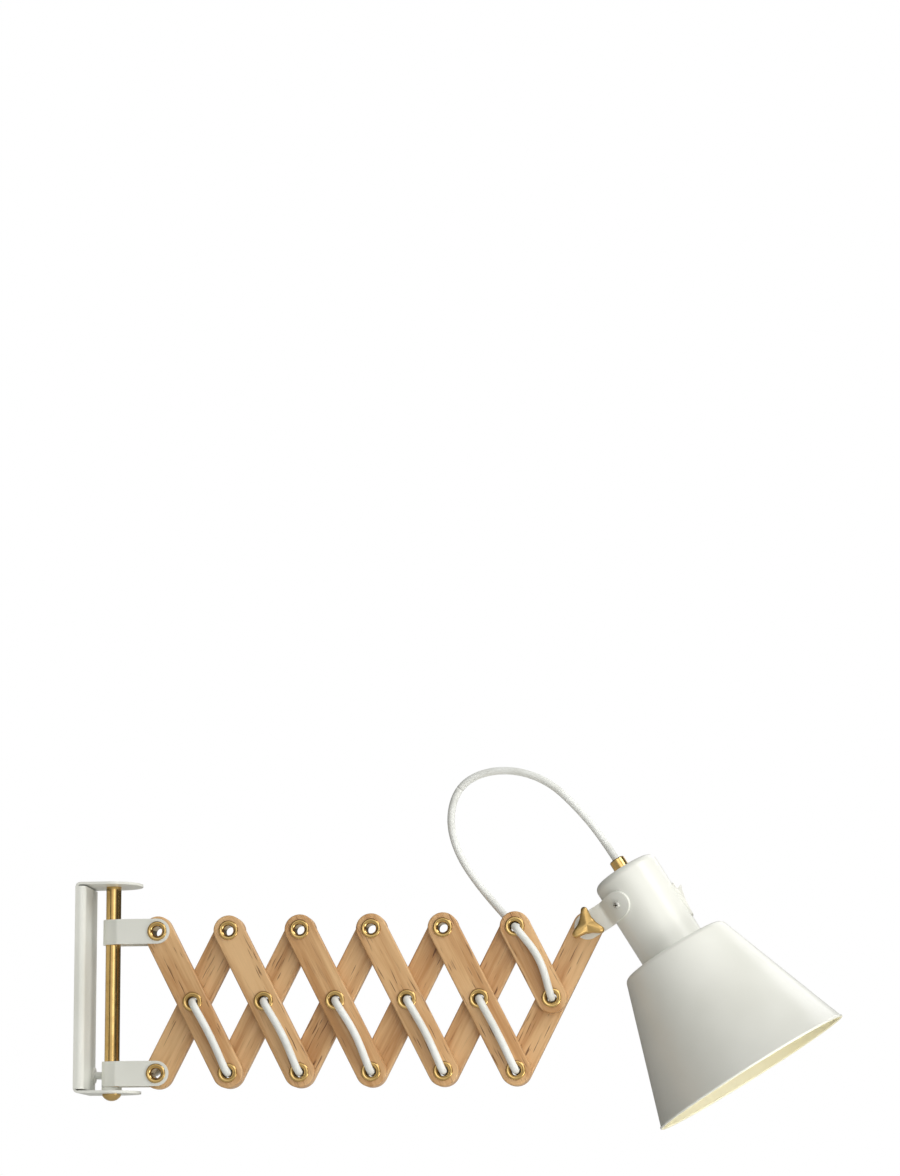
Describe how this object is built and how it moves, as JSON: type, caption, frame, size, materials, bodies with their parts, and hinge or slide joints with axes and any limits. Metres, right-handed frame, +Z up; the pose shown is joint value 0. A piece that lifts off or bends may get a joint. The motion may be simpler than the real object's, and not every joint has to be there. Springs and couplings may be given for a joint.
{
  "type": "wall lamp",
  "caption": "Wall lamp on a folding wooden scissor arm with a swivel bracket, a tilting cone shade and a cord woven through the eyelets.",
  "frame": {"origin": "wall face of the bracket, half way up it, in the middle of its width", "axes": "+Z up, +X away from the wall along the arm, -Y towards the side with the wing knob"},
  "size_m": [0.6052, 0.1674, 0.291],
  "materials": {
    "white_paint": "semi-gloss paint",
    "white_aluminium": "semi-gloss white paint",
    "brass": "polished",
    "zinc": "zinc plated",
    "light_wood": "clear lacquer",
    "cord_white": "smooth sheath",
    "white_plastic": "satin",
    "holder_plastic": "matt"
  },
  "bodies": {
    "bracket": {"bracket_plate": "white_paint", "cover_channel": "white_paint", "pivot_rod": "brass", "rod_screw": "brass", "earth_screw": "zinc", "rod_collar": "white_paint", "cord_bush": "white_plastic", "cord_feed": "cord_white"},
    "lower_swivel": {"lower_strap": "white_paint", "lower_spacer": "white_plastic"},
    "upper_swivel": {"upper_strap": "white_paint", "upper_spacer": "white_plastic", "upper_strap_eyelet": "brass"},
    "rear_arm_1": {"rear_slat_1": "light_wood", "rear_eyelets_1": "brass", "rear_cord_1": "cord_white"},
    "front_arm_1": {"front_slat_1": "light_wood", "front_cord_1": "cord_white"},
    "rear_arm_2": {"rear_slat_2": "light_wood", "rear_eyelets_2": "brass", "rear_cord_2": "cord_white"},
    "front_arm_2": {"front_slat_2": "light_wood", "front_cord_2": "cord_white"},
    "rear_arm_3": {"rear_slat_3": "light_wood", "rear_eyelets_3": "brass", "rear_cord_3": "cord_white"},
    "front_arm_3": {"front_slat_3": "light_wood", "front_cord_3": "cord_white"},
    "rear_arm_4": {"rear_slat_4": "light_wood", "rear_eyelets_4": "brass", "rear_cord_4": "cord_white"},
    "front_arm_4": {"front_slat_4": "light_wood", "front_cord_4": "cord_white"},
    "rear_arm_5": {"rear_slat_5": "light_wood", "rear_eyelets_5": "brass", "rear_cord_5": "cord_white"},
    "front_arm_5": {"front_slat_5": "light_wood", "front_cord_5": "cord_white"},
    "rear_arm_6": {"rear_slat_6": "light_wood", "rear_eyelets_6": "brass", "rear_cord_6": "cord_white", "pivot_bolt": "brass", "cord_loop": "cord_white"},
    "front_arm_6": {"front_slat_6": "light_wood", "front_cord_6": "cord_white"},
    "head": {"head_strap": "white_paint", "strap_screw": "zinc", "strap_nut": "zinc", "neck_housing": "white_aluminium", "shade_cone": "white_aluminium", "cord_gland": "brass", "threaded_tube": "brass", "lock_nut": "brass", "lamp_holder": "holder_plastic", "lamp_contacts": "brass", "shade_ring": "white_plastic", "switch_body": "white_plastic"},
    "knob": {"wing_knob": "brass"},
    "rocker": {"switch_rocker": "white_plastic"}
  },
  "joints": [
    {"name": "arm_swivel", "type": "hinge", "parent": "bracket", "child": "lower_swivel", "pos_m": [0.026, 0, 0], "axis": [0, 0, 1], "range_deg": [-75, 75], "deforming": ["cord_feed"]},
    {"name": "fold", "type": "hinge", "parent": "lower_swivel", "child": "rear_arm_1", "pos_m": [0.0635, 0, -0.0683], "axis": [0, 1, 0], "range_deg": [-14.5, 37], "deforming": ["rear_cord_1"]},
    {"name": "crossing_1", "type": "hinge", "parent": "rear_arm_1", "child": "front_arm_1", "pos_m": [0.09213, 0, -0.01162], "axis": [0, 1, 0], "range_deg": [-74, 29]},
    {"name": "upper_strap_pivot", "type": "hinge", "parent": "front_arm_1", "child": "upper_swivel", "pos_m": [0.0635, 0, 0.04506], "axis": [0, 1, 0], "range_deg": [-14.5, 37]},
    {"name": "top_pivot_2", "type": "hinge", "parent": "rear_arm_1", "child": "front_arm_2", "pos_m": [0.12076, 0, 0.04506], "axis": [0, 1, 0], "range_deg": [-74, 29]},
    {"name": "crossing_2", "type": "hinge", "parent": "front_arm_2", "child": "rear_arm_2", "pos_m": [0.14939, 0, -0.01162], "axis": [0, 1, 0], "range_deg": [-29, 74]},
    {"name": "low_pivot_3", "type": "hinge", "parent": "front_arm_2", "child": "rear_arm_3", "pos_m": [0.17802, 0, -0.0683], "axis": [0, 1, 0], "range_deg": [-29, 74]},
    {"name": "crossing_3", "type": "hinge", "parent": "rear_arm_3", "child": "front_arm_3", "pos_m": [0.20665, 0, -0.01162], "axis": [0, 1, 0], "range_deg": [-74, 29]},
    {"name": "top_pivot_4", "type": "hinge", "parent": "rear_arm_3", "child": "front_arm_4", "pos_m": [0.23528, 0, 0.04506], "axis": [0, 1, 0], "range_deg": [-74, 29]},
    {"name": "crossing_4", "type": "hinge", "parent": "front_arm_4", "child": "rear_arm_4", "pos_m": [0.26392, 0, -0.01162], "axis": [0, 1, 0], "range_deg": [-29, 74]},
    {"name": "low_pivot_5", "type": "hinge", "parent": "front_arm_4", "child": "rear_arm_5", "pos_m": [0.29255, 0, -0.0683], "axis": [0, 1, 0], "range_deg": [-29, 74]},
    {"name": "crossing_5", "type": "hinge", "parent": "rear_arm_5", "child": "front_arm_5", "pos_m": [0.32118, 0, -0.01162], "axis": [0, 1, 0], "range_deg": [-74, 29]},
    {"name": "top_pivot_6", "type": "hinge", "parent": "rear_arm_5", "child": "front_arm_6", "pos_m": [0.34981, 0, 0.04506], "axis": [0, 1, 0], "range_deg": [-74, 29]},
    {"name": "crossing_6", "type": "hinge", "parent": "front_arm_6", "child": "rear_arm_6", "pos_m": [0.37844, 0, -0.01162], "axis": [0, 1, 0], "range_deg": [-29, 74], "deforming": ["cord_loop"]},
    {"name": "head_tilt", "type": "hinge", "parent": "rear_arm_6", "child": "head", "pos_m": [0.40707, 0, 0.04506], "axis": [0, 1, 0], "range_deg": [-60, 35], "deforming": ["cord_loop"]},
    {"name": "knob_turn", "type": "hinge", "parent": "rear_arm_6", "child": "knob", "pos_m": [0.40707, 0, 0.04506], "axis": [0, -1, 0], "range_deg": [0, 360]},
    {"name": "rocker_press", "type": "hinge", "parent": "head", "child": "rocker", "pos_m": [0.48165, 0.0035, 0.06555], "axis": [0, -1, 0], "range_deg": [0, 22]}
  ],
  "couplings": [
    {"joint": "crossing_1", "follows": "fold", "ratio": -2},
    {"joint": "upper_strap_pivot", "follows": "fold", "ratio": 1},
    {"joint": "top_pivot_2", "follows": "fold", "ratio": -2},
    {"joint": "crossing_2", "follows": "fold", "ratio": 2},
    {"joint": "low_pivot_3", "follows": "fold", "ratio": 2},
    {"joint": "crossing_3", "follows": "fold", "ratio": -2},
    {"joint": "top_pivot_4", "follows": "fold", "ratio": -2},
    {"joint": "crossing_4", "follows": "fold", "ratio": 2},
    {"joint": "low_pivot_5", "follows": "fold", "ratio": 2},
    {"joint": "crossing_5", "follows": "fold", "ratio": -2},
    {"joint": "top_pivot_6", "follows": "fold", "ratio": -2},
    {"joint": "crossing_6", "follows": "fold", "ratio": 2}
  ]
}
